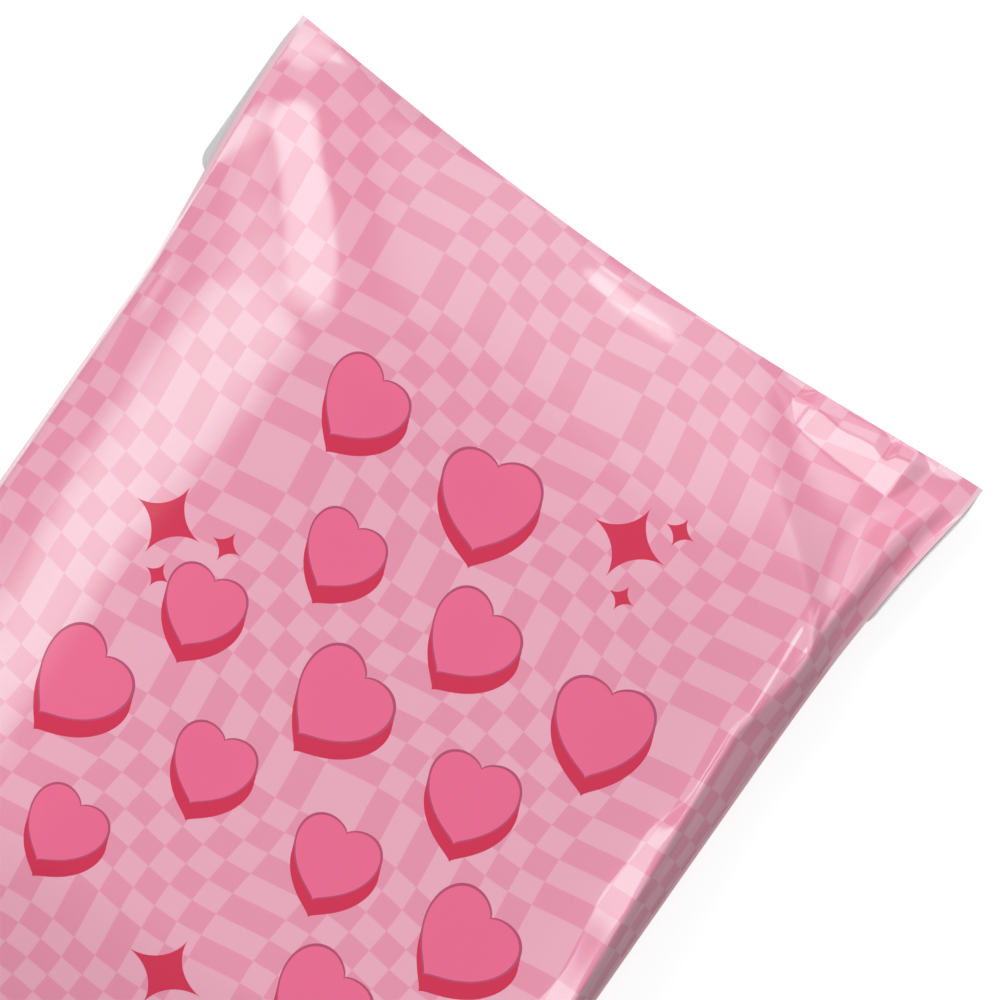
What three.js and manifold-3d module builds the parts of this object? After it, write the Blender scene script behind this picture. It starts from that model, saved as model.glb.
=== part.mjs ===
// A filled and sealed plastic mailing bag, lying on its back with its printed front up.
// One film makes all of it: the front panel runs over the fold at the top (+Y) and becomes the closing
// flap, which is stuck down on the back. The long sides and the bottom are narrow hot-cut welds.
// Millimetres, +X across the bag, +Y towards the fold, +Z up. The origin is on the surface that the bag
// lies on, under its middle. The filled bag can't be seen into, so it is one solid of its outer form.
import * as THREE from 'three';
import { mergeVertices } from 'three/addons/utils/BufferGeometryUtils.js';
import Module from 'manifold-3d';

// The empty bag, laid flat
const FILM = 0.075; // gauge of one layer of film
const FLAT_WIDTH = 254; // from weld to weld
const FLAT_LENGTH = 330; // from the fold to the bottom weld
const WELD_WIDTH = 1.5; // hot-cut bead along the sides and the bottom
const FLAP_LENGTH = 55; // from the fold to the flap's free edge
const FLAP_CORNER = 6; // length of the rounded corners at the flap's free edge

// What filling does to it
const SEAM_HEIGHT = 15; // height of the welds above the surface that the bag lies on
const FRONT_RISE = 22.8; // height of the front's level part above the welds
const CROWN = 2.2; // further rise in the middle of the front
const LEFT_PULL = 6; // how far the left side is drawn in
const LEFT_EAR = { start: 20, end: 98 }; // where it swings back out, measured from the corners
const RIGHT_PULL = 8; // how far the right side is drawn in
const RIGHT_EAR = 38; // length over which it swings back out to its corners
const END_PULL = 7; // how far the fold and the bottom are drawn in at mid-width
const EAR_LENGTH = 75; // length of the corners that the contents don't fill
const EAR_DROP = 3; // how far the four corners hang below the welds
const FLAP_OVERHANG = 1; // how far the flap stands out past the right side

// Shoulders: the band over which each panel climbs from the weld to its level part
const FRONT_LEFT_RUN = 88;
const FRONT_END_RUN = 78;
const BACK_LEFT_RUN = 60;
const BACK_RIGHT_RUN = 40;
const BACK_BOTTOM_RUN = 66;
const BACK_FLAP_MARGIN = 14; // level part of the back starts this far past the flap
const SHOULDER_POWER = 2.1; // 1 is a straight ramp, and more is a rounder shoulder
const CORNER_POWER = 2.6; // 2 rounds the filling's corners off in arcs, and more squares them

// On the right the film stands as a steep wall, with a long crest along its top
const CREST_INSET_TOP = 14.5; // from the weld to the crest, at the upper end
const CREST_INSET_BOTTOM = 6;
const CREST_HEIGHT = 3.2;
const CREST_WIDTH = 4.5;
const WALL_SPREAD = 46; // how much the wall widens towards the corners
const VALLEY_DEPTH = 2.8; // the slack hollow beside the crest
const VALLEY_WIDTH = 11;
const VALLEY_INSET = 16; // from the crest

// Slack film gathers along the left side in short puckers, square to the weld
const PUCKER_PITCH = 27.5;
const PUCKER_DEPTH = 0.5;
const PUCKER_REACH = 38; // from the weld to where a pucker has faded

// Fineness of the two sheets of facets
const CREST_STATION = 0.88; // column that follows the crest, where 1 is the right weld
const COLUMN_STEP = 10.5; // columns across the level middle
const ROW_STEP = 5.2; // rows, close enough for the puckers
const EDGE_STEPS = [0, WELD_WIDTH, 4, 8, 13, 19, 26, 34, 43]; // columns and rows beside an edge
const WALL_STEPS = 6; // columns from the crest to the right weld

const FILM_COLOUR = 0xf0a6bf;

const HALF_WIDTH = FLAT_WIDTH / 2;
const HALF_LENGTH = FLAT_LENGTH / 2;
const WELD_THICKNESS = 2 * FILM;
const BACK_TOP_RUN = FLAP_LENGTH + BACK_FLAP_MARGIN;

const { smoothstep, clamp, lerp } = THREE.MathUtils;

// Stations t run from -1 at the bottom to 1 at the fold, and s from -1 at the left to 1 at the right.
const fromEnd = (t) => (1 - Math.abs(t)) * HALF_LENGTH;

function leftEdgeAt(t) {
  return -HALF_WIDTH + LEFT_PULL * smoothstep(fromEnd(t), LEFT_EAR.start, LEFT_EAR.end);
}

function rightEdgeAt(t) {
  return HALF_WIDTH - RIGHT_PULL * (1 - Math.exp(-((fromEnd(t) / RIGHT_EAR) ** 1.5)));
}

function crestInsetAt(t) {
  return lerp(CREST_INSET_BOTTOM, CREST_INSET_TOP, smoothstep(t, -1, 1));
}

// The columns spread evenly from the left weld to the crest, and again from the crest to the right weld.
function acrossAt(s, t) {
  const [left, right] = [leftEdgeAt(t), rightEdgeAt(t)];
  const crest = right - crestInsetAt(t);
  if (s > CREST_STATION) return lerp(crest, right, (s - CREST_STATION) / (1 - CREST_STATION));
  return lerp(left, crest, (s + 1) / (CREST_STATION + 1));
}

// Half the filled bag's length, this far across it.
function halfLengthAt(x) {
  return HALF_LENGTH - END_PULL * (1 - (x / HALF_WIDTH) ** 2);
}

// A station's place from above, and its distances from the four edges.
function placeAt(s, t) {
  const x = acrossAt(s, t);
  const halfLength = halfLengthAt(x);
  return {
    x,
    y: t * halfLength,
    left: Math.max(0, x - leftEdgeAt(t)),
    right: Math.max(0, rightEdgeAt(t) - x),
    top: Math.max(0, (1 - t) * halfLength),
    bottom: Math.max(0, (1 + t) * halfLength),
  };
}

// What is still missing of a run, from 1 at the weld to 0 where the panel is level.
function missing(inset, run) {
  return 1 - clamp((inset - WELD_WIDTH) / (run - WELD_WIDTH), 0, 1);
}

// Share of its full height that a panel has reached, with the corners rounded off between its sides.
function fullness(...shortfalls) {
  const total = shortfalls.reduce((sum, short) => sum + short ** CORNER_POWER, 0) ** (1 / CORNER_POWER);
  return 1 - Math.min(1, total) ** SHOULDER_POWER;
}

// Height of the welds, which droop towards the four corners.
function seamHeight({ x, y }) {
  return SEAM_HEIGHT - EAR_DROP * Math.abs((x * y) / (HALF_WIDTH * HALF_LENGTH)) ** 6;
}

function ridge(distance, width) {
  return Math.exp(-((distance / width) ** 2));
}

// A wave along the length that is full at the foot of the left shoulder and gone at both ends.
function pucker({ left, top, bottom }) {
  const reach = Math.sin(Math.PI * clamp((left - WELD_WIDTH) / PUCKER_REACH, 0, 1)) ** 2;
  const ends = smoothstep(Math.min(top, bottom), EAR_LENGTH / 3, EAR_LENGTH);
  return PUCKER_DEPTH * reach * ends * Math.cos((2 * Math.PI * top) / PUCKER_PITCH);
}

function crestAndValley({ right, top, bottom }, crestInset) {
  const ends = smoothstep(Math.min(top, bottom), EAR_LENGTH / 4, EAR_LENGTH);
  const crest = CREST_HEIGHT * ridge(right - crestInset, CREST_WIDTH) * smoothstep(right, 0, crestInset);
  return ends * (crest - VALLEY_DEPTH * ridge(right - crestInset - VALLEY_INSET, VALLEY_WIDTH));
}

function frontPoint(s, t) {
  const place = placeAt(s, t);
  const { x, y, left, right, top, bottom } = place;
  const crestInset = crestInsetAt(t);
  const nearEnd = 1 - smoothstep(Math.min(top, bottom), 0, EAR_LENGTH);
  const share = fullness(
    missing(left, FRONT_LEFT_RUN),
    missing(right, crestInset + WALL_SPREAD * nearEnd),
    missing(Math.min(top, bottom), FRONT_END_RUN),
  );
  const crown = CROWN * (1 - (x / HALF_WIDTH) ** 2) * (1 - (y / HALF_LENGTH) ** 2);
  const relief = pucker(place) + crestAndValley(place, crestInset);
  const height = share * (FRONT_RISE + crown) + relief * Math.min(1, 2 * share);
  return new THREE.Vector3(x, y, seamHeight(place) + WELD_THICKNESS / 2 + height);
}

// The back comes down to a level part at height 0, which the bag rests on.
function backPoint(s, t) {
  const place = placeAt(s, t);
  const share = fullness(
    missing(place.left, BACK_LEFT_RUN),
    missing(place.right, BACK_RIGHT_RUN),
    missing(place.top, BACK_TOP_RUN),
    missing(place.bottom, BACK_BOTTOM_RUN),
  );
  const z = (seamHeight(place) - WELD_THICKNESS / 2) * (1 - share);
  return new THREE.Vector3(place.x, place.y, z);
}

// Stations from -1 to an end: close together beside both welds, evenly spaced between them.
function stations(half, step, end = 1, extra = []) {
  const beside = EDGE_STEPS.map((inset) => inset / half);
  const reach = beside[beside.length - 1];
  const first = beside.map((inset) => -1 + inset);
  const last = end === 1 ? beside.map((inset) => 1 - inset) : [end];
  const [from, to] = [-1 + reach, end === 1 ? 1 - reach : end];
  const count = Math.ceil(((to - from) * half) / step);
  const middle = Array.from({ length: count - 1 }, (_, i) => lerp(from, to, (i + 1) / count));
  return [...first, ...middle, ...last, ...extra].sort((a, b) => a - b);
}

// A closed solid between two sheets of points that share one grid of stations.
function solidBetween(columns, rows, upper, lower) {
  const positions = [];
  const index = [];
  for (const sheet of [upper, lower])
    for (const t of rows)
      for (const s of columns) positions.push(...sheet(s, t).toArray());
  const wide = columns.length;
  const high = rows.length;
  const at = (layer, row, column) => (layer * high + row) * wide + column;
  const quad = (a, b, c, d) => index.push(a, b, c, a, c, d);
  for (let row = 0; row < high - 1; row++)
    for (let column = 0; column < wide - 1; column++) {
      const [here, right] = [column, column + 1];
      quad(at(0, row, here), at(0, row, right), at(0, row + 1, right), at(0, row + 1, here));
      index.push(at(1, row, here), at(1, row + 1, right), at(1, row, right));
      index.push(at(1, row, here), at(1, row + 1, here), at(1, row + 1, right));
    }
  for (let row = 0; row < high - 1; row++) {
    const last = wide - 1;
    quad(at(1, row, 0), at(0, row, 0), at(0, row + 1, 0), at(1, row + 1, 0));
    quad(at(0, row, last), at(1, row, last), at(1, row + 1, last), at(0, row + 1, last));
  }
  for (let column = 0; column < wide - 1; column++) {
    const last = high - 1;
    quad(at(1, 0, column), at(1, 0, column + 1), at(0, 0, column + 1), at(0, 0, column));
    quad(at(0, last, column), at(0, last, column + 1), at(1, last, column + 1), at(1, last, column));
  }
  const geometry = new THREE.BufferGeometry();
  geometry.setAttribute('position', new THREE.Float32BufferAttribute(positions, 3));
  geometry.setIndex(index);
  return geometry;
}

const wasm = await Module();
wasm.setup();

function toSolid(geometry) {
  const merged = mergeVertices(geometry, 1e-4);
  return new wasm.Manifold(
    new wasm.Mesh({
      numProp: 3,
      vertProperties: merged.attributes.position.array,
      triVerts: new Uint32Array(merged.index.array),
    }),
  );
}

function toGeometry(solid) {
  const mesh = solid.getMesh();
  const geometry = new THREE.BufferGeometry();
  geometry.setAttribute('position', new THREE.BufferAttribute(mesh.vertProperties, 3));
  geometry.setIndex(new THREE.BufferAttribute(mesh.triVerts, 1));
  geometry.computeVertexNormals();
  return geometry;
}

const flapEnd = 1 - FLAP_LENGTH / HALF_LENGTH; // station of the flap's free edge
const cornerStart = 1 - (FLAP_LENGTH - FLAP_CORNER) / HALF_LENGTH;
const cornerStations = [0.25, 0.5, 0.75].map((share) => lerp(cornerStart, flapEnd, share));
const wallStations = Array.from({ length: WALL_STEPS }, (_, i) => {
  return lerp(CREST_STATION, 1, (i + 1) / WALL_STEPS);
});
const columns = stations(HALF_WIDTH, COLUMN_STEP, CREST_STATION, wallStations);
const rows = stations(HALF_LENGTH, ROW_STEP, 1, [flapEnd, cornerStart, ...cornerStations]);

function filledBody() {
  return solidBetween(columns, rows, frontPoint, backPoint);
}

// How far the flap stands out past a side of the bag, rounded off at its free corners. On the left it
// keeps the width that the bag had when it was flat.
function standOut(side, t) {
  const along = fromEnd(t);
  const out = side < 0 ? leftEdgeAt(t) + HALF_WIDTH : Math.min(FLAP_OVERHANG, HALF_WIDTH - rightEdgeAt(t));
  const round = clamp((along - (FLAP_LENGTH - FLAP_CORNER)) / FLAP_CORNER, 0, 1);
  return out * Math.sqrt(1 - round * round);
}

// The flap lies on the back panel. Columns beyond 1 and -1 are the strips that stand out at the sides.
function closingFlap() {
  const strip = 0.5;
  const flapColumns = [-1 - strip, ...columns, 1 + strip];
  const flapRows = rows.filter((t) => t >= flapEnd);
  const layer = (offset) => (s, t) => {
    const point = backPoint(clamp(s, -1, 1), t);
    if (Math.abs(s) > 1) point.x += Math.sign(s) * standOut(Math.sign(s), t);
    point.z += offset;
    return point;
  };
  return solidBetween(flapColumns, flapRows, layer(FILM / 2), layer(-FILM));
}

const mailer = new THREE.Group();
const film = new THREE.MeshStandardMaterial({ color: FILM_COLOUR, roughness: 0.28, metalness: 0 });
const bag = toSolid(filledBody()).add(toSolid(closingFlap()));
const bagMesh = new THREE.Mesh(toGeometry(bag), film);
bagMesh.name = 'mailer_bag';
mailer.add(bagMesh);

export default mailer;
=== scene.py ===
"""A filled plastic mailing bag: film solved over soft contents, with a glossy printed finish."""
import math

import bpy
import numpy as np
from mathutils import Matrix, Vector


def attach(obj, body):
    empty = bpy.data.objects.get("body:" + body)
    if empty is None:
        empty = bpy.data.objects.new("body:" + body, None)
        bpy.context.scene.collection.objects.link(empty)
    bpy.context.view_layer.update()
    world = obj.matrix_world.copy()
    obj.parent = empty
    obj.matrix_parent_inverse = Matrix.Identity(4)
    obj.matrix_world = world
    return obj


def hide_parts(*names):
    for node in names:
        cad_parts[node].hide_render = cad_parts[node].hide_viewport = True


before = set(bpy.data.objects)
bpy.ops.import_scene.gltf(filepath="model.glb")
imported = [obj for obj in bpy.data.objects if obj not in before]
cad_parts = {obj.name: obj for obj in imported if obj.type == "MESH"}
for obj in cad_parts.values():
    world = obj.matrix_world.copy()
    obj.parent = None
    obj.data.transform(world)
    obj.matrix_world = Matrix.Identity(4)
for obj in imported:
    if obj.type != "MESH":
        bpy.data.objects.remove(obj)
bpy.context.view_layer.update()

MM = 0.001

# The film, in millimetres: u runs across the front from its left weld, v from the fold to the bottom
WIDTH = 254.0
LENGTH = 330.0
FLAP = 55.0
FLAP_CORNER = 6.0
FLAP_OVERHANG = 0.9
FILM = 0.12
WELD = 1.5
LAYER_GAP = 0.35
SEAM_HEIGHT = 15.0

# Solver levels: columns, rows and steps, coarse to fine
LEVELS = [(44, 58, 700), (88, 116, 450), (176, 232, 240)]
PASSES = 2
START_SIZE = 0.1
GROWING_SHARE = 0.6
SUCTION = 0.0006
WEIGHT = 0.003
SLACK_STIFFNESS = 0.35
BENDING = 0.02
DAMPING = 0.9
OUTLINE_PULL = 0.3
SEAM_PULL = 0.05
START_SWELL = 0.5
START_NOISE = 0.05
START_BLEND = 40

# How far the filled bag's edges are drawn in, and how soon from its corners
LEFT_DRAW = 6.0
LEFT_DRAW_SPAN = (20, 98)
RIGHT_DRAW = 8.0
RIGHT_DRAW_REACH = 38
END_DRAW = 7.0
END_DRAW_LEAN = 0.3

# The folded garment inside: its edges from the bag's middle, its height, and the run of its shoulders
GARMENT_SIDE = 122
GARMENT_END = 158
GARMENT_HEIGHT = 22.8
WALL_FOOT = 118.5
LEFT_RUN = 84
END_RUN = 74
END_BOW = 4
CROWN = 1.8
UNDER_LEFT_RUN = 60
UNDER_RIGHT_RUN = 40
BASE_FULLNESS = 1.05
THINNEST = 0.02
NOWHERE = 99.0

# Its corners: how round they are, and how far they give way to the bag's flat ears
LEFT_CORNER = 3.6
RIGHT_CORNER = 2.6
EAR_FROM_END = 161
EAR_RUN = 75
EAR_CUT = 34
EAR_WALL = 46
EAR_LEFT = 8

# The long ridge near the right side, as places along the bag and across it, and the hollow beside it
CREST_LINE = ((-110, -32, 26, 62, 78, 144), (112.0, 110.1, 106.3, 104.2, 107.6, 111.5))
HOLLOW = 1.2
HOLLOW_SPAN = (55, 100)

# Fineness of the finished piece, as ends and steps: closer over the creases near the right and top
BODY_COLUMNS = ((3.0, 0.75), (180.0, 2.0), (WIDTH, 0.65))
BODY_ROWS = ((24.0, 0.6), (LENGTH - 3, 1.8), (LENGTH, 0.75))


def smooth(x, low, high):
    """Nothing up to low, one from high on, and an even blend between."""
    t = np.clip((x - low) / (high - low), 0, 1)
    return t * t * (3 - 2 * t)


# The film solver. The front and back are one ring of film: columns 0 to C are the front from left to
# right, and the rest is the back. The first and last rows are pinched shut.

def left_inset(reach):
    """How far the left weld is drawn in, this far from the nearer end."""
    return LEFT_DRAW * smooth(reach, *LEFT_DRAW_SPAN)


def right_inset(reach):
    """The same for the right weld, which bends in sooner."""
    return RIGHT_DRAW * (1 - np.exp(-(np.maximum(reach, 0) / RIGHT_DRAW_REACH) ** 1.5))


def end_inset(x):
    """How far the fold and the bottom are drawn in, this far across."""
    s = np.clip(x / (WIDTH / 2), -1, 1)
    return END_DRAW * (1 - s * s) * (1 - END_DRAW_LEAN * np.maximum(s, 0) ** 2)


def rise(inset, run):
    """Share of its full height that a shoulder has reached, this far in from its edge."""
    return 1 - (1 - np.clip(inset / run, 0, 1)) ** 2.0


def crest_x(y):
    """Where the film's long ridge runs, near the right side."""
    return np.interp(y, *CREST_LINE)


def ridge(x, centre, left_width, right_width):
    width = np.where(x < centre, left_width, right_width)
    return np.exp(-((x - centre) / width) ** 2)


def corner_blend(side, end, roundness):
    """Nearness to a side or an end, as one measure that rounds the corner between them."""
    return np.minimum((side ** roundness + end ** roundness) ** (1 / roundness), 1)


def lumps(x, y):
    return 0.7 * np.sin(x / 31 + 0.6) * np.sin(y / 43 + 1.1) + 0.4 * np.sin(x / 17 + y / 29 + 2.0)


def contents(x, y, grow):
    """Upper and lower faces of the folded garment inside."""
    near_end = 1 - smooth(EAR_FROM_END - np.abs(y), 0, EAR_RUN)
    cut = EAR_CUT * near_end ** 1.5
    bow = END_BOW * (x / (WIDTH / 2)) ** 2
    crest = crest_x(y)
    wall = WALL_FOOT - crest + EAR_WALL * near_end
    left = 1 - np.clip((x + GARMENT_SIDE + EAR_LEFT * near_end ** 2) / LEFT_RUN, 0, 1)
    right = 1 - np.clip((WALL_FOOT - cut - x) / wall, 0, 1)
    end = 1 - np.clip((GARMENT_END - bow - np.abs(y)) / END_RUN, 0, 1)
    left_body = 1 - corner_blend(left, end, LEFT_CORNER) ** 2.1
    right_body = 1 - corner_blend(right, end, RIGHT_CORNER) ** 1.4
    end_body = np.maximum(1 - np.minimum(end, 1) ** 2.1, 0.05)
    body = np.minimum(left_body * right_body / end_body, 1)
    along = smooth(GARMENT_END - np.abs(y), 12, 60)
    lower = smooth(-y, -40, 20)
    relief = (0.5 + 1.5 * lower) * ridge(x, crest, 4.0 + 3 * lower, 5.0)
    relief -= HOLLOW * smooth(x, *HOLLOW_SPAN)
    crown = CROWN * (1 - (x / (WIDTH / 2)) ** 2) * (1 - (y / (LENGTH / 2)) ** 2)
    height = GARMENT_HEIGHT + crown + lumps(x, y) * body + relief * along
    up = SEAM_HEIGHT + 0.2 + grow * body * height
    under = rise(x + GARMENT_SIDE, UNDER_LEFT_RUN) * rise(GARMENT_SIDE - cut - x, UNDER_RIGHT_RUN)
    under = under * (1 - np.minimum(end, 1) ** 2.3)
    down = (SEAM_HEIGHT + 1) * (1 - grow * np.minimum(1.0, BASE_FULLNESS * under))
    inside = body > THINNEST
    return np.where(inside, up, -NOWHERE), np.where(inside, down, NOWHERE)


def flat_ring(columns, rows):
    """The film laid flat, its layers a little apart, with a trace of noise so that it can buckle."""
    k = np.arange(2 * columns)
    u = np.where(k <= columns, k, 2 * columns - k) * (WIDTH / columns)
    v = np.arange(rows + 1) * (LENGTH / rows)
    pos = np.zeros((rows + 1, 2 * columns, 3), np.float32)
    pos[..., 0] = u[None, :] - WIDTH / 2
    pos[..., 1] = LENGTH / 2 - v[:, None]
    side = np.where((k > 0) & (k < columns), 1.0, np.where(k > columns, -1.0, 0.0))
    swell_across = smooth(np.minimum(u, WIDTH - u), 0, START_BLEND)
    swell_along = smooth(np.minimum(v, LENGTH - v), 0, START_BLEND)
    swell = swell_across[None, :] * swell_along[:, None]
    pos[..., 2] = SEAM_HEIGHT + START_SWELL * side[None, :] * swell
    pos[..., 2] += np.random.default_rng(7).normal(0, START_NOISE, pos.shape[:2])
    return pos


def refine(pos):
    """The ring with a new row and column halfway between all its neighbours."""
    rows, ring = pos.shape[0] - 1, pos.shape[1]
    fine = np.zeros((2 * rows + 1, 2 * ring, 3), np.float32)
    fine[::2, ::2] = pos
    fine[::2, 1::2] = 0.5 * (pos + np.roll(pos, -1, axis=1))
    fine[1::2] = 0.5 * (fine[:-2:2] + fine[2::2])
    return fine


def hold_length(a, b, rest):
    """Moves two arrays of points to their rest distance; film gives way more in compression."""
    d = b - a
    length = np.sqrt(np.einsum("...i,...i", d, d)) + 1e-9
    share = (length - rest) / length
    share *= np.where(share > 0, 0.5, 0.5 * SLACK_STIFFNESS)
    d *= share[..., None]
    a += d
    b -= d


def hold_film(pos, du, dv):
    """Holds the film's lengths across, along and on both diagonals."""
    n = pos.shape[0]
    hold_length(pos[:, 0::2], pos[:, 1::2], du)
    rolled = np.roll(pos, -1, axis=1)
    hold_length(rolled[:, 0::2], rolled[:, 1::2], du)
    pos[:] = np.roll(rolled, 1, axis=1)
    hold_length(pos[0:n - 1:2], pos[1:n:2], dv)
    hold_length(pos[1:n - 1:2], pos[2:n:2], dv)
    diagonal = math.hypot(du, dv)
    for first in (0, 1):
        for shift in (1, -1):
            a = pos[first:n - 1:2]
            b = np.roll(pos[first + 1:n:2], -shift, axis=1)
            m = min(len(a), len(b))
            upper, lower = a[:m].copy(), b[:m].copy()
            hold_length(upper, lower, diagonal)
            pos[first:first + 2 * m:2] = upper
            pos[first + 1:first + 1 + 2 * m:2] = np.roll(lower, shift, axis=1)


def bending_push(panel):
    """Small moves that straighten a panel where it bends."""
    push = np.zeros_like(panel)
    across = panel[:, :-2] - 2 * panel[:, 1:-1] + panel[:, 2:]
    push[:, :-2] -= across
    push[:, 1:-1] += 2 * across
    push[:, 2:] -= across
    along = panel[:-2] - 2 * panel[1:-1] + panel[2:]
    push[:-2] -= along
    push[1:-1] += 2 * along
    push[2:] -= along
    return BENDING * push


def stiffen(pos, columns):
    back = np.r_[np.arange(columns, 2 * columns), 0]
    push_front = bending_push(pos[:, :columns + 1])
    push_back = bending_push(pos[:, back])
    pos[:, :columns + 1] += push_front
    pos[:, columns:] += push_back[:, :-1]
    pos[:, 0] += push_back[:, -1]


def normals(pos):
    """Outward directions."""
    across = np.roll(pos, -1, axis=1) - np.roll(pos, 1, axis=1)
    along = np.gradient(pos, axis=0)
    n = np.cross(along, across)
    return n / (np.linalg.norm(n, axis=-1, keepdims=True) + 1e-9)


def pinch(pos, row, columns):
    """Brings front and back together along one row."""
    mirror = (-np.arange(2 * columns)) % (2 * columns)
    pos[row] = 0.5 * (pos[row] + pos[row][mirror])


def hold_outline(pos, columns):
    """Draws the welds and the fold towards the filled bag's outline and height."""
    for column, side, inset in ((0, -1, left_inset), (columns, 1, right_inset)):
        goal = side * (WIDTH / 2 - inset(LENGTH / 2 - np.abs(pos[:, column, 1])))
        pos[:, column, 0] += OUTLINE_PULL * (goal - pos[:, column, 0])
        pos[:, column, 2] += SEAM_PULL * (SEAM_HEIGHT - pos[:, column, 2])
    for row, end in ((0, 1), (-1, -1)):
        goal = end * (LENGTH / 2 - end_inset(pos[row, :, 0]))
        pos[row, :, 1] += OUTLINE_PULL * (goal - pos[row, :, 1])
        pos[row, :, 2] += SEAM_PULL * (SEAM_HEIGHT - pos[row, :, 2])


def press_welds(pos, columns):
    """Brings front and back together in the narrow weld along the sides and the bottom."""
    for front, back in ((1, -1), (columns - 1, columns + 1)):
        pos[:, front] = pos[:, back] = 0.5 * (pos[:, front] + pos[:, back])
    pinch(pos, -2, columns)


def settle(pos, columns, rows, steps, grow_from):
    """Lets the film settle over the contents, which grow to their full size on the way."""
    du, dv = WIDTH / columns, LENGTH / rows
    speed = np.zeros_like(pos)
    ground = np.zeros(pos.shape[:2], np.float32)
    ground[:int((FLAP + 2) / dv), columns:] = LAYER_GAP + 2 * FILM
    for step in range(steps):
        grow = grow_from + (1 - grow_from) * min(1.0, step / (GROWING_SHARE * steps))
        before = pos.copy()
        speed -= normals(pos) * (SUCTION * du / 5)
        speed[..., 2] -= WEIGHT
        pos += speed
        for _ in range(PASSES):
            hold_film(pos, du, dv)
            stiffen(pos, columns)
            pinch(pos, 0, columns)
            pinch(pos, -1, columns)
            hold_outline(pos, columns)
            up, down = contents(pos[..., 0], pos[..., 1], grow)
            front, back = pos[:, 1:columns, 2], pos[:, columns + 1:, 2]
            np.maximum(front, up[:, 1:columns], out=front)
            np.minimum(back, down[:, columns + 1:], out=back)
            np.maximum(pos[..., 2], ground, out=pos[..., 2])
            if dv < WELD:
                press_welds(pos, columns)
        speed = (pos - before) * DAMPING


def solve_film():
    levels = LEVELS
    pos = flat_ring(*levels[0][:2])
    for level, (columns, rows, steps) in enumerate(levels):
        if level:
            pos = refine(pos)
        settle(pos, columns, rows, steps, START_SIZE if level == 0 else 1.0)
    return pos, columns, rows


# Meshes from the solved film

def set_uv(mesh, uv):
    layer = mesh.uv_layers.new(name="film")
    layer.data.foreach_set("uv", np.asarray(uv, np.float32).ravel())


def new_piece(name, points, faces, uv):
    mesh = bpy.data.meshes.new(name)
    mesh.from_pydata((np.asarray(points) * MM).tolist(), [], faces.tolist())
    set_uv(mesh, uv)
    mesh.validate()
    mesh.shade_smooth()
    piece = bpy.data.objects.new(name, mesh)
    bpy.context.collection.objects.link(piece)
    return piece


def sheet_normals(sheet):
    """Directions square to a sheet, pointing up."""
    n = np.cross(np.gradient(sheet, axis=0), np.gradient(sheet, axis=1))
    return n / (np.linalg.norm(n, axis=-1, keepdims=True) + 1e-9)


def closed_shell(name, upper, lower, upper_uv, lower_uv):
    """One closed piece between two grids of points with a crisp rim, and how many faces are on top."""
    high, wide = upper.shape[:2]
    half = high * wide
    points = np.concatenate([upper.reshape(-1, 3), lower.reshape(-1, 3)])
    at = np.concatenate([upper_uv.reshape(-1, 2), lower_uv.reshape(-1, 2)])
    top = np.arange(half).reshape(high, wide)
    rim = np.r_[top[0, :], top[1:, -1], top[-1, -2::-1], top[-2:0:-1, 0]]
    upper_faces = np.stack([top[:-1, :-1], top[1:, :-1], top[1:, 1:], top[:-1, 1:]], -1)
    upper_faces = upper_faces.reshape(-1, 4)
    lower_faces = upper_faces[:, (0, 3, 2, 1)] + half
    rim_faces = np.stack([rim, np.roll(rim, -1), np.roll(rim, -1) + half, rim + half], -1)
    faces = np.concatenate([upper_faces, lower_faces, rim_faces])
    piece = new_piece(name, points, faces, at[faces].reshape(-1, 2))
    mesh = piece.data
    ends = np.empty(2 * len(mesh.edges), np.int32)
    mesh.edges.foreach_get("vertices", ends)
    on_rim = np.zeros(len(points), bool)
    on_rim[rim] = on_rim[rim + half] = True
    ends = ends.reshape(-1, 2)
    same_side = (ends[:, 0] < half) == (ends[:, 1] < half)
    sharp = mesh.attributes.new("sharp_edge", "BOOLEAN", "EDGE")
    sharp.data.foreach_set("value", on_rim[ends].all(axis=1) & same_side)
    return piece, len(upper_faces)


def film_uv(u, v):
    """Film coordinates, in units of 100 mm."""
    return np.stack(np.broadcast_arrays(u, v), -1) / 100


def split_sheets(pos, columns):
    """The front and the back as two sheets, each from the left weld to the right one."""
    front = pos[:, :columns + 1]
    back = np.concatenate([pos[:, columns:], pos[:, :1]], axis=1)[:, ::-1]
    return front, back


def stations(parts):
    """Film coordinates from 0 on; each part is given as its end and its step."""
    places = [0.0]
    for end, step in parts:
        count = math.ceil((end - places[-1]) / step)
        places.extend(np.linspace(places[-1], end, count + 1)[1:])
    return np.array(places)


def build_body(front, back):
    """The bag's front and back as one closed piece, with the creases added on the front."""
    u, v = stations(BODY_COLUMNS), stations(BODY_ROWS)
    front, back = resample(front, u, v), resample(back, u, v)
    x, y = front[..., 0], front[..., 1]
    front[..., 2] = np.maximum(front[..., 2] + creases(x, y), fold_pucker(x, y))
    upper = front + sheet_normals(front) * FILM
    lower = back - sheet_normals(back) * FILM
    v = v[:, None]
    return closed_shell("bag_film", upper, lower, film_uv(u, v), film_uv(2 * WIDTH - u, v))[0]


# Lines of the sharp folds, each as places along the bag and across it
UPPER_LINE = ((62, 93, 109), (106.0, 104.2, 103.3))
OUTER_LINE = ((91, 132, 150), (109.0, 110.4, 112.5))
JOG_LEFT = ((74, 93, 108), (110.0, 104.7, 103.8))
JOG_RIGHT = ((74, 91, 108), (110.0, 109.7, 103.8))
STRIP = 1.4
THINNEST_FACET = 0.01

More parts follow.
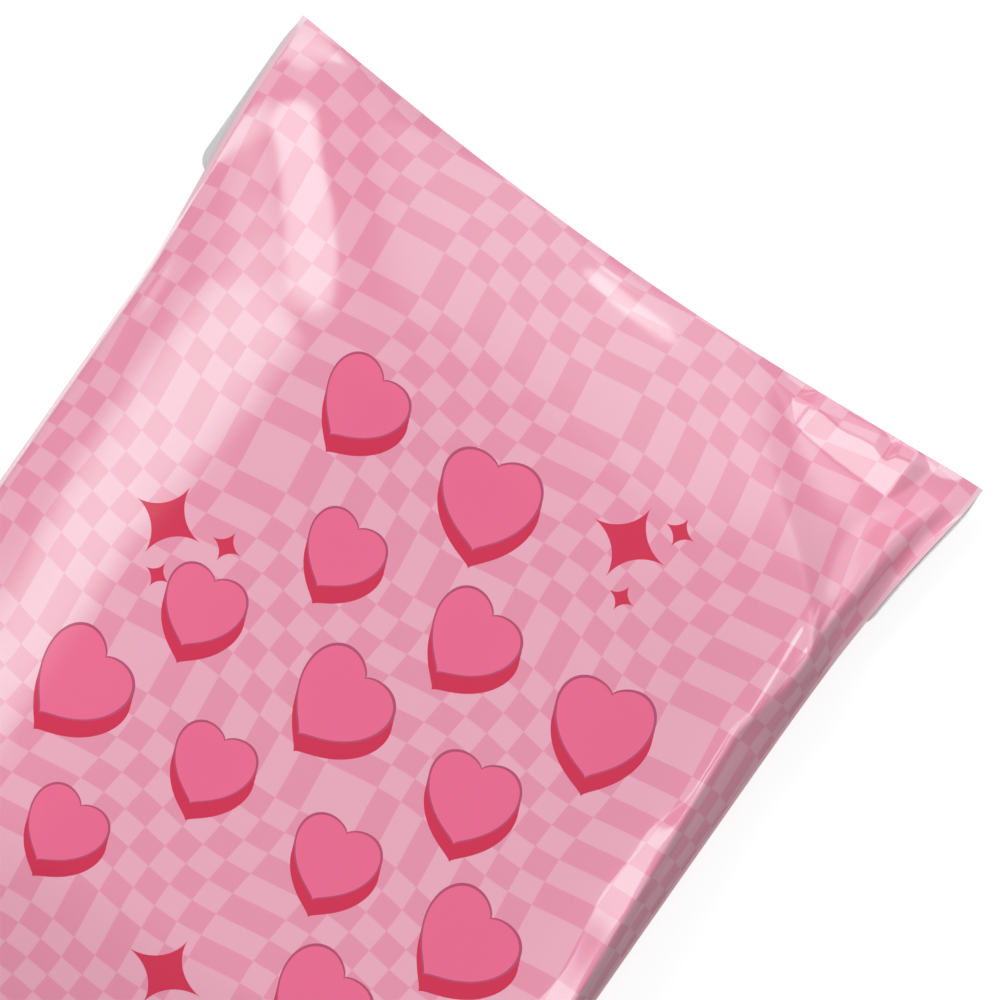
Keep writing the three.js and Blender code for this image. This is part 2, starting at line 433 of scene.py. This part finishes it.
# The flat face at the fold: its edge as places across the bag and along it, and its level
PUCKER_EDGE = ((65, 72, 80, 91, 96.5, 98, 108), (154.2, 156.2, 155.3, 157.0, 155.0, 158.0, 160.0))
PUCKER_LEVEL = 15.4
PUCKER_FOOT = 146
PUCKER_SPAN = (68, 104)
PUCKER_TILT = 0.15
PUCKER_FALL = 0.5


def facet(x, low, high, slope, fall):
    """Height of a flat facet that rises from one line to another and falls away past the second."""
    width = np.maximum(high - low, THINNEST_FACET)
    return slope * (np.clip(x - low, 0, width) - width * np.clip((x - high) / fall, 0, 1))


def fold_pucker(x, y):
    """Height of a flat face near the right end of the fold, which rises to a notched edge."""
    edge = np.interp(x, *PUCKER_EDGE)
    first, last = PUCKER_SPAN
    past_span = np.maximum(x - last, 0) + np.maximum(first - x, 0)
    level = PUCKER_LEVEL - 0.03 * (x - 85) - PUCKER_FALL * past_span
    face = level + PUCKER_TILT * (np.minimum(y, edge) - PUCKER_FOOT)
    return face - PUCKER_FALL * np.maximum(y - edge, 0)


def creases(x, y):
    """Sharp folds of the film over the contents: thin facets along the crest, and where it jogs."""
    crest = crest_x(y)
    lower = smooth(-y, -40, -18)
    strip = STRIP + 6.6 * lower + 1.3 * np.sin((y + 12) / 7) * smooth(-y, -28, 0)
    height = facet(x, crest - strip, crest, 0.95 - 0.6 * lower, 3.5) * (1 - smooth(y, 62, 72))
    upper = np.interp(y, *UPPER_LINE)
    height += facet(x, upper - STRIP, upper, 0.5, 3.0) * smooth(y, 62, 72) * (1 - smooth(y, 93, 109))
    outer = np.interp(y, *OUTER_LINE)
    height += facet(x, outer - STRIP, outer, 0.6, 4.0) * smooth(y, 88, 95) * (1 - smooth(y, 132, 150))
    height += facet(x, np.interp(y, *JOG_LEFT), np.interp(y, *JOG_RIGHT), 0.42, 3.0)
    return height


def resample(sheet, u, v):
    """The sheet at other film coordinates, by cubic interpolation."""
    for axis, wanted, length in ((1, u, WIDTH), (0, v, LENGTH)):
        count = sheet.shape[axis] - 1
        place = wanted / length * count
        first = np.minimum(place.astype(int), count - 1)
        t = (place - first).reshape((-1, 1) if axis else (-1, 1, 1))
        p0, p1, p2, p3 = (sheet.take(np.clip(first + k, 0, count), axis=axis) for k in (-1, 0, 1, 2))
        cubic = 3 * (p1 - p2) + p3 - p0
        square = 2 * p0 - 5 * p1 + 4 * p2 - p3
        sheet = p1 + 0.5 * t * (p2 - p0 + t * (square + t * cubic))
    return sheet


# The flap near its fold: how soon it lies flat, and how much it bulges, ripples and presses in
FLAP_FOLD = 2.5
FLAP_BULGE = 0.35
FLAP_RIPPLE = 0.1
FLAP_SINK_SPAN = 3
FLAP_SPREAD_SPAN = 10


def flap_line(back, rows, along, corner_left):
    """Points across the flap, this far from the fold, on the back panel and past its drawn-in sides."""
    place = along * rows / LENGTH
    row = min(int(place), rows - 1)
    share = place - row
    on_back = (1 - share) * back[row] + share * back[row + 1]
    round_off = np.clip((along - (FLAP - FLAP_CORNER)) / FLAP_CORNER, 0, 1)
    drawn = FLAP_CORNER * (1 - math.sqrt(1 - round_off ** 2))
    overhang = FLAP_OVERHANG * smooth(along, 0, FLAP_SPREAD_SPAN)
    left = corner_left - overhang + drawn
    right = on_back[-1, 0] + overhang - drawn
    share_across = np.linspace(0, 1, back.shape[1])
    x = left + (right - left) * share_across
    y = np.interp(x, on_back[:, 0], on_back[:, 1])
    z = np.interp(x, on_back[:, 0], on_back[:, 2])
    bulge = FLAP_BULGE * math.sin(math.pi * min(along / FLAP_FOLD, 1))
    ripple = FLAP_RIPPLE * math.sin(math.pi * min(along / FLAP, 1)) * np.sin(x / 13 + along / 9) ** 2
    z = np.maximum(z - LAYER_GAP * smooth(along, 0, FLAP_SINK_SPAN) + ripple, FILM)
    return np.stack([x, y + bulge, z], -1)


def build_flap(back):
    """The closing flap: the front film past the fold, lying glued on the back."""
    rows = len(back) - 1
    fold = np.linspace(0, FLAP_FOLD, 6)
    level = np.linspace(FLAP_FOLD, FLAP - FLAP_CORNER, 36)[1:]
    corner = FLAP - FLAP_CORNER + FLAP_CORNER * np.sin(np.linspace(0, math.pi / 2, 10)[1:])
    places = np.r_[fold, level, corner]
    inner = np.array([flap_line(back, rows, place, back[0, 0, 0]) for place in places])
    at = film_uv(np.clip(inner[..., 0] + WIDTH / 2, 0, WIDTH), -places[:, None])
    flap, inner_count = closed_shell("flap", inner, inner - (0, 0, FILM), at, at)
    slots = np.zeros(len(flap.data.polygons), np.int32)
    slots[:inner_count] = 1
    flap.data.polygons.foreach_set("material_index", slots)
    return flap


film, columns, rows = solve_film()
front, back = split_sheets(film, columns)
bag = build_body(front, back)
flap = build_flap(back)


# Materials

def srgb(r, g, b):
    """A shader colour from display values of 0 to 255, none of them near black."""
    return tuple(((c / 255 + 0.055) / 1.055) ** 2.4 for c in (r, g, b)) + (1.0,)


class Field:
    """A number that varies over the surface, as the output of math nodes."""

    def __init__(self, tree, socket):
        self.tree, self.socket = tree, socket

    def _node(self, operation, *values):
        node = self.tree.nodes.new("ShaderNodeMath")
        node.operation = operation
        for slot, value in enumerate((self, *values)):
            if isinstance(value, Field):
                self.tree.links.new(value.socket, node.inputs[slot])
            else:
                node.inputs[slot].default_value = value
        return Field(self.tree, node.outputs[0])

    def __add__(self, other):
        return self._node("ADD", other)

    def __sub__(self, other):
        return self._node("SUBTRACT", other)

    def __mul__(self, other):
        return self._node("MULTIPLY", other)

    def __truediv__(self, other):
        return self._node("DIVIDE", other)

    def floor(self):
        return self._node("FLOOR")

    def fraction(self):
        return self._node("FRACT")

    def absolute(self):
        return self._node("ABSOLUTE")

    def cosine(self):
        return self._node("COSINE")

    def modulo(self, other):
        return self._node("MODULO", other)

    def least(self, other):
        return self._node("MINIMUM", other)

    def most(self, other):
        return self._node("MAXIMUM", other)

    def below(self, other):
        return self._node("LESS_THAN", other)

    def above(self, other):
        return self._node("GREATER_THAN", other)


def mix_colour(tree, factor, first, second):
    node = tree.nodes.new("ShaderNodeMix")
    node.data_type = "RGBA"
    tree.links.new(factor.socket, node.inputs["Factor"])
    for name, value in (("A", first), ("B", second)):
        socket = next(s for s in node.inputs if s.name == name and s.type == "RGBA")
        if isinstance(value, tuple):
            socket.default_value = value
        else:
            tree.links.new(value, socket)
    return next(s for s in node.outputs if s.type == "RGBA")


# The printed checker: each tile has one wide and seven narrow cells both ways, and gently wavy lines
TILE = 72.2
WIDE_SHARE = 0.23
NARROW_CELLS = 7
FIRST_WIDE_U = 70.2
FIRST_TALL_V = 42.8
ROW_WAVE = 1.95
COLUMN_WAVE = 1.3
WAVE_LAG = 0.22

LIGHT_CELL = srgb(242, 173, 195)
DARK_CELL = srgb(237, 149, 176)
STAR_RED = srgb(216, 60, 90)
# The welds are real, but their paler pink is a painted highlight: the light rim along the seals' edge
WELD_HIGHLIGHT_PINK = srgb(238, 196, 208)
INNER_GREY = srgb(206, 206, 207)

# Gloss: its tint keeps highlights on the pink film pink, and the ink is duller than the film
GLOSS_TINT = (0.55, 1.0, 0.9, 1.0)
FILM_ROUGHNESS = 0.08
FILM_IOR = 1.5
FILM_SHINE = 0.5
INK_SHINE = 0.12
INNER_ROUGHNESS = 0.4


def cell_number(position, wide_centre):
    """Which cell of its tile a position is in, with 0 for the wide one."""
    share = (position - (wide_centre - WIDE_SHARE * TILE / 2 - 20 * TILE)) / TILE
    share = share.fraction()
    return ((share - WIDE_SHARE) * (NARROW_CELLS / (1 - WIDE_SHARE))).floor().most(-1.0) + 1.0


def checker(u, v):
    lag = WAVE_LAG * TILE
    wave = 2 * math.pi / TILE
    bent_v = v + ((u - (FIRST_WIDE_U + lag)) * wave).cosine() * ROW_WAVE
    bent_u = u - ((v - (FIRST_TALL_V + lag)) * wave).cosine() * COLUMN_WAVE
    return (cell_number(bent_u, FIRST_WIDE_U) + cell_number(bent_v, FIRST_TALL_V)).modulo(2.0)


# Four-pointed sparkles, their sides arcs of circles: centre across, centre along, and reach
STARS = [
    (169.8, 74.7, 12.7), (180.8, 63.5, 5.3), (177.0, 89.9, 4.5),
    (54.4, 148.4, 12.2), (73.5, 144.8, 5.3), (61.3, 163.6, 4.5),
    (130.7, 260.6, 12.7),
]
BIG_STAR = 10
ARC_CENTRE = 1.056
ARC_RADIUS = 1.058


def star(u, v, centre_u, centre_v, reach):
    x = ((u - centre_u) / reach).absolute()
    y = ((v - centre_v) / reach).absolute()
    dx, dy = x - ARC_CENTRE, y - ARC_CENTRE
    outside_arc = (dx * dx + dy * dy).above(ARC_RADIUS ** 2)
    return outside_arc * x.most(y).below(1.0)


# Hearts in staggered rows, each with an outline and a darker shade below it
HEART_RED = srgb(240, 112, 150)
HEART_LINE = srgb(190, 82, 118)
HEART_SHADE = srgb(214, 56, 88)
HEART_SIZE = 11.5
HEART_SIZE_SPREAD = 1.3
HEART_TURN = 0.28
HEART_DRIFT_U = 3.0
HEART_DRIFT_V = 1.2
HEART_STEP = 46.0
HEART_ROW_STEP = 38.0
HEART_FIRST_V = 90.0
HEART_LAST_ROW = 4.0
HEART_REACH = 80.0
HEART_LINE_SHARE = 1.05
SHADE_OFFSET = (1.8, 4.7)
STAR_CLEARANCE = 26.0


def heart(x, y):
    """Inside the curve (x^2 + y^2 - 1)^3 = x^2 y^3."""
    xx, yy = x * x, y * y
    q = xx + yy - 1.0
    return (q * q * q - xx * yy * y).below(0.0)


def hearts(u, v):
    """Masks of the hearts' faces, of their outlines and of their shades."""
    row = ((v - (HEART_FIRST_V - HEART_ROW_STEP / 2)) / HEART_ROW_STEP).floor()
    stagger = row.modulo(2.0) * (HEART_STEP / 2)
    column = ((u + stagger - (WIDTH / 2 - HEART_STEP / 2)) / HEART_STEP).floor()
    home_u = column * HEART_STEP - stagger + WIDTH / 2
    home_v = row * HEART_ROW_STEP + HEART_FIRST_V
    allowed = row.above(-0.5) * row.below(HEART_LAST_ROW + 0.5)
    allowed = allowed * (home_u - WIDTH / 2).absolute().below(HEART_REACH)
    for star_u, star_v, reach in STARS:
        if reach > BIG_STAR:
            du, dv = home_u - star_u, home_v - star_v
            allowed = allowed * (du * du + dv * dv).above(STAR_CLEARANCE ** 2)
    turn = (column * 2.3 + row * 1.7).cosine() * HEART_TURN
    turn_cos, turn_sin = turn.cosine(), (turn - math.pi / 2).cosine()
    size = (column * 1.9 + row * 2.9).cosine() * HEART_SIZE_SPREAD + HEART_SIZE
    from_u = u - home_u - (row * 2.1 + column).cosine() * HEART_DRIFT_U
    from_v = v - home_v - (column * 2.7 - row).cosine() * HEART_DRIFT_V

    def placed(shift_u, shift_v, share):
        across = (from_u - shift_u) / size / share
        up = (from_v - shift_v) / size * (-1.0 / share)
        return heart(across * turn_cos + up * turn_sin, up * turn_cos - across * turn_sin) * allowed

    shade_u, shade_v = SHADE_OFFSET
    shade = placed(shade_u, shade_v, HEART_LINE_SHARE)
    for part in (0.33, 0.67):
        shade = shade.most(placed(part * shade_u, part * shade_v, HEART_LINE_SHARE))
    return placed(0, 0, 1.0), placed(0, 0, HEART_LINE_SHARE), shade


def weld_highlight_band(u, v):
    """Where the film is welded along its sides, on the bag but not on its flap; the paler pink put there
    is a painted highlight along the seals' rim.
    """
    share = (u / WIDTH).fraction()
    near = share.least(share * -1.0 + 1.0).below(WELD / WIDTH)
    return near * v.above(0.0)


# Slackness of the film too small for the mesh: features per 100 mm, and height in millimetres
WAVES = [(4.0, 0.22), (16.0, 0.02)]


def bump(tree, place, shader):
    """Two layers of soft noise in the shader's normal."""
    below = None
    for scale, height in WAVES:
        noise = tree.nodes.new("ShaderNodeTexNoise")
        noise.inputs["Scale"].default_value = scale
        noise.inputs["Detail"].default_value = 1.0
        tree.links.new(place, noise.inputs["Vector"])
        node = tree.nodes.new("ShaderNodeBump")
        node.inputs["Distance"].default_value = height * MM
        tree.links.new(noise.outputs["Fac"], node.inputs["Height"])
        if below:
            tree.links.new(below, node.inputs["Normal"])
        below = node.outputs["Normal"]
    tree.links.new(below, shader.inputs["Normal"])


def film_material():
    material = bpy.data.materials.new("printed_film")
    material.use_nodes = True
    tree = material.node_tree
    shader = tree.nodes["Principled BSDF"]
    place = tree.nodes.new("ShaderNodeUVMap")
    place.uv_map = "film"
    split = tree.nodes.new("ShaderNodeSeparateXYZ")
    tree.links.new(place.outputs["UV"], split.inputs[0])
    u = Field(tree, split.outputs[0]) * 100.0
    v = Field(tree, split.outputs[1]) * 100.0
    colour = mix_colour(tree, checker(u, v), LIGHT_CELL, DARK_CELL)
    face, line, shade = hearts(u, v)
    stars = star(u, v, *STARS[0])
    for place_and_reach in STARS[1:]:
        stars = stars.most(star(u, v, *place_and_reach))
    inks = ((shade, HEART_SHADE), (line, HEART_LINE), (face, HEART_RED), (stars, STAR_RED))
    # The last mask paints a paler pink along the side welds, a painted highlight on the seals' rim
    for mask, ink in (*inks, (weld_highlight_band(u, v), WELD_HIGHLIGHT_PINK)):
        colour = mix_colour(tree, mask, colour, ink)
    tree.links.new(colour, shader.inputs["Base Color"])
    shine = stars.most(line).most(shade) * (INK_SHINE - FILM_SHINE) + FILM_SHINE
    tree.links.new(shine.socket, shader.inputs["Specular IOR Level"])
    shader.inputs["Roughness"].default_value = FILM_ROUGHNESS
    shader.inputs["IOR"].default_value = FILM_IOR
    shader.inputs["Specular Tint"].default_value = GLOSS_TINT
    bump(tree, place.outputs["UV"], shader)
    return material


def inner_material():
    material = bpy.data.materials.new("inner_film")
    material.use_nodes = True
    shader = material.node_tree.nodes["Principled BSDF"]
    shader.inputs["Base Color"].default_value = INNER_GREY
    shader.inputs["Roughness"].default_value = INNER_ROUGHNESS
    return material


printed = film_material()
bag.data.materials.append(printed)
flap.data.materials.append(printed)
flap.data.materials.append(inner_material())
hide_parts("mailer_bag")
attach(flap, "root")
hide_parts("mailer_bag")
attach(bag, "root")


# The floor: its size and drop in metres, and its glow for the object and for the camera
FLOOR_SIZE = 8
FLOOR_DROP = 0.0003
FLOOR_GREY = (0.3, 0.3, 0.3, 1)
FLOOR_ROUGHNESS = 0.9
FLOOR_GLOW = 0.06
FLOOR_GLOW_SEEN = 0.8


def floor():
    bpy.ops.mesh.primitive_plane_add(size=FLOOR_SIZE, location=(0, 0, -FLOOR_DROP))
    plane = bpy.context.object
    plane.name = "floor"
    material = bpy.data.materials.new("white_floor")
    material.use_nodes = True
    tree = material.node_tree
    shader = tree.nodes["Principled BSDF"]
    shader.inputs["Base Color"].default_value = FLOOR_GREY
    shader.inputs["Roughness"].default_value = FLOOR_ROUGHNESS
    path = tree.nodes.new("ShaderNodeLightPath")
    glow = Field(tree, path.outputs["Is Camera Ray"]) * (FLOOR_GLOW_SEEN - FLOOR_GLOW) + FLOOR_GLOW
    shader.inputs["Emission Color"].default_value = (1, 1, 1, 1)
    tree.links.new(glow.socket, shader.inputs["Emission Strength"])
    plane.data.materials.append(material)


# The room's even light, and how much less of it comes from the left
ROOM_LEVEL = 0.38
ROOM_SLOPE = -0.06

# Soft lights far away: direction, outer and inner angle in degrees, and strength
SOFTBOXES = [
    ((-0.680, -0.01, 0.733), 16, 4, 6.4),
    ((-0.560, 0.345, 0.753), 10.5, 6.5, 7.4),
    ((0.05, 0.78, 0.62), 22, 6, 2.4),
    ((0.0, 0.0, 1.0), 42, 15, 0.38),
]

# Small panels that the film mirrors as crisp patches: the place on the film, the x and y of its normal
# there, the panel's distance, its two sizes and its turn, in millimetres and degrees
PANEL_GLOW = 7.5
PANEL_SPREAD = 28.0
PANELS = [
    ((6, 151.0, 19), (0.0, 0.375), 100, 42, 8, -9),
    ((87, 151.5, 16), (0.03, -0.15), 150, 80, 34, 5),
    ((-123, 158, 15), (0.0, 0.0), 150, 34, 30, 0),
]

# The bag's top corners in the photograph, in pixels, and the camera's lens in millimetres
PHOTO_LEFT_CORNER = (303.0, 15.0)
PHOTO_RIGHT_CORNER = (983.0, 490.0)
PHOTO_SIZE = 1000.0
LENS = 100.0
SENSOR = 36.0


def camera(left_corner, right_corner):
    """Looks straight down, with the bag's top corners where the photograph has them; gives its place."""
    left, right = np.array(left_corner[:2]) * MM, np.array(right_corner[:2]) * MM
    height = 0.5 * (left_corner[2] + right_corner[2]) * MM
    p0, p1 = np.array(PHOTO_LEFT_CORNER), np.array(PHOTO_RIGHT_CORNER)
    span_photo = (p1 - p0) * (1, -1)
    span = right - left
    scale = np.linalg.norm(span) / np.linalg.norm(span_photo)
    roll = math.atan2(span[1], span[0]) - math.atan2(span_photo[1], span_photo[0])
    right_dir = np.array([math.cos(roll), math.sin(roll)])
    up_dir = np.array([-math.sin(roll), math.cos(roll)])
    offset = (np.array([PHOTO_SIZE / 2, PHOTO_SIZE / 2]) - p0) * (1, -1) * scale
    place = left + right_dir * offset[0] + up_dir * offset[1]
    distance = scale * PHOTO_SIZE * LENS / SENSOR
    data = bpy.data.cameras.new("camera")
    data.lens, data.sensor_width = LENS, SENSOR
    item = bpy.data.objects.new("camera", data)
    turn = Matrix(((right_dir[0], up_dir[0], 0), (right_dir[1], up_dir[1], 0), (0, 0, 1)))
    item.matrix_world = Matrix.Translation((place[0], place[1], height + distance)) @ turn.to_4x4()
    bpy.context.collection.objects.link(item)
    bpy.context.scene.camera = item
    return item.matrix_world.translation.copy()


def panel(eye, place, facing, distance, long_side, short_side, turn):
    """An area light that the film, facing this way at a place, mirrors to the camera."""
    place = Vector(place) * MM
    normal = Vector((*facing, math.sqrt(1 - facing[0] ** 2 - facing[1] ** 2)))
    view = (eye - place).normalized()
    ray = 2 * normal.dot(view) * normal - view
    light = bpy.data.lights.new("panel", "AREA")
    light.shape = "ELLIPSE"
    light.size, light.size_y = long_side * MM, short_side * MM
    light.spread = math.radians(PANEL_SPREAD)
    beam = 1 - light.spread / 2 / math.tan(light.spread / 2)
    light.energy = PANEL_GLOW * beam * math.pi * math.pi / 4 * light.size * light.size_y
    item = bpy.data.objects.new("panel", light)
    along = Vector((math.cos(math.radians(turn)), math.sin(math.radians(turn)), 0))
    across = ray.cross(along).normalized()
    along = across.cross(ray)
    axes = Matrix((along, across, ray)).transposed()
    item.matrix_world = Matrix.Translation(place + ray * distance * MM) @ axes.to_4x4()
    item.visible_camera = False
    bpy.context.collection.objects.link(item)


def toward(tree, source, direction):
    """Cosine of the angle between a ray and a direction."""
    node = tree.nodes.new("ShaderNodeVectorMath")
    node.operation = "DOT_PRODUCT"
    tree.links.new(source, node.inputs[0])
    node.inputs[1].default_value = Vector(direction).normalized()
    return node.outputs["Value"]


def soft_window(tree, cosine, outer, inner):
    """One inside the inner angle from a direction, fading to nothing at the outer angle."""
    node = tree.nodes.new("ShaderNodeMapRange")
    node.interpolation_type = "SMOOTHSTEP"
    tree.links.new(cosine, node.inputs["Value"])
    node.inputs["From Min"].default_value = math.cos(math.radians(outer))
    node.inputs["From Max"].default_value = math.cos(math.radians(inner))
    return Field(tree, node.outputs["Result"])


def light_scene():
    """A soft room with lights that the glossy film mirrors, and a white backdrop for the camera."""
    world = bpy.data.worlds.new("studio")
    bpy.context.scene.world = world
    world.use_nodes = True
    tree = world.node_tree
    background = tree.nodes["Background"]
    ray = tree.nodes.new("ShaderNodeTexCoord").outputs["Generated"]
    level = Field(tree, toward(tree, ray, (-1, 0, 0))) * ROOM_SLOPE + ROOM_LEVEL
    for direction, outer, inner, strength in SOFTBOXES:
        level = level + soft_window(tree, toward(tree, ray, direction), outer, inner) * strength
    path = tree.nodes.new("ShaderNodeLightPath")
    seen = Field(tree, path.outputs["Is Camera Ray"])
    shown = seen + level * (seen * -1.0 + 1.0)
    background.inputs["Color"].default_value = (1, 1, 1, 1)
    tree.links.new(shown.socket, background.inputs["Strength"])


floor()
light_scene()
eye = camera(film[0, 0], film[0, columns])
for values in PANELS:
    panel(eye, *values)
bpy.context.scene.view_settings.view_transform = "Standard"
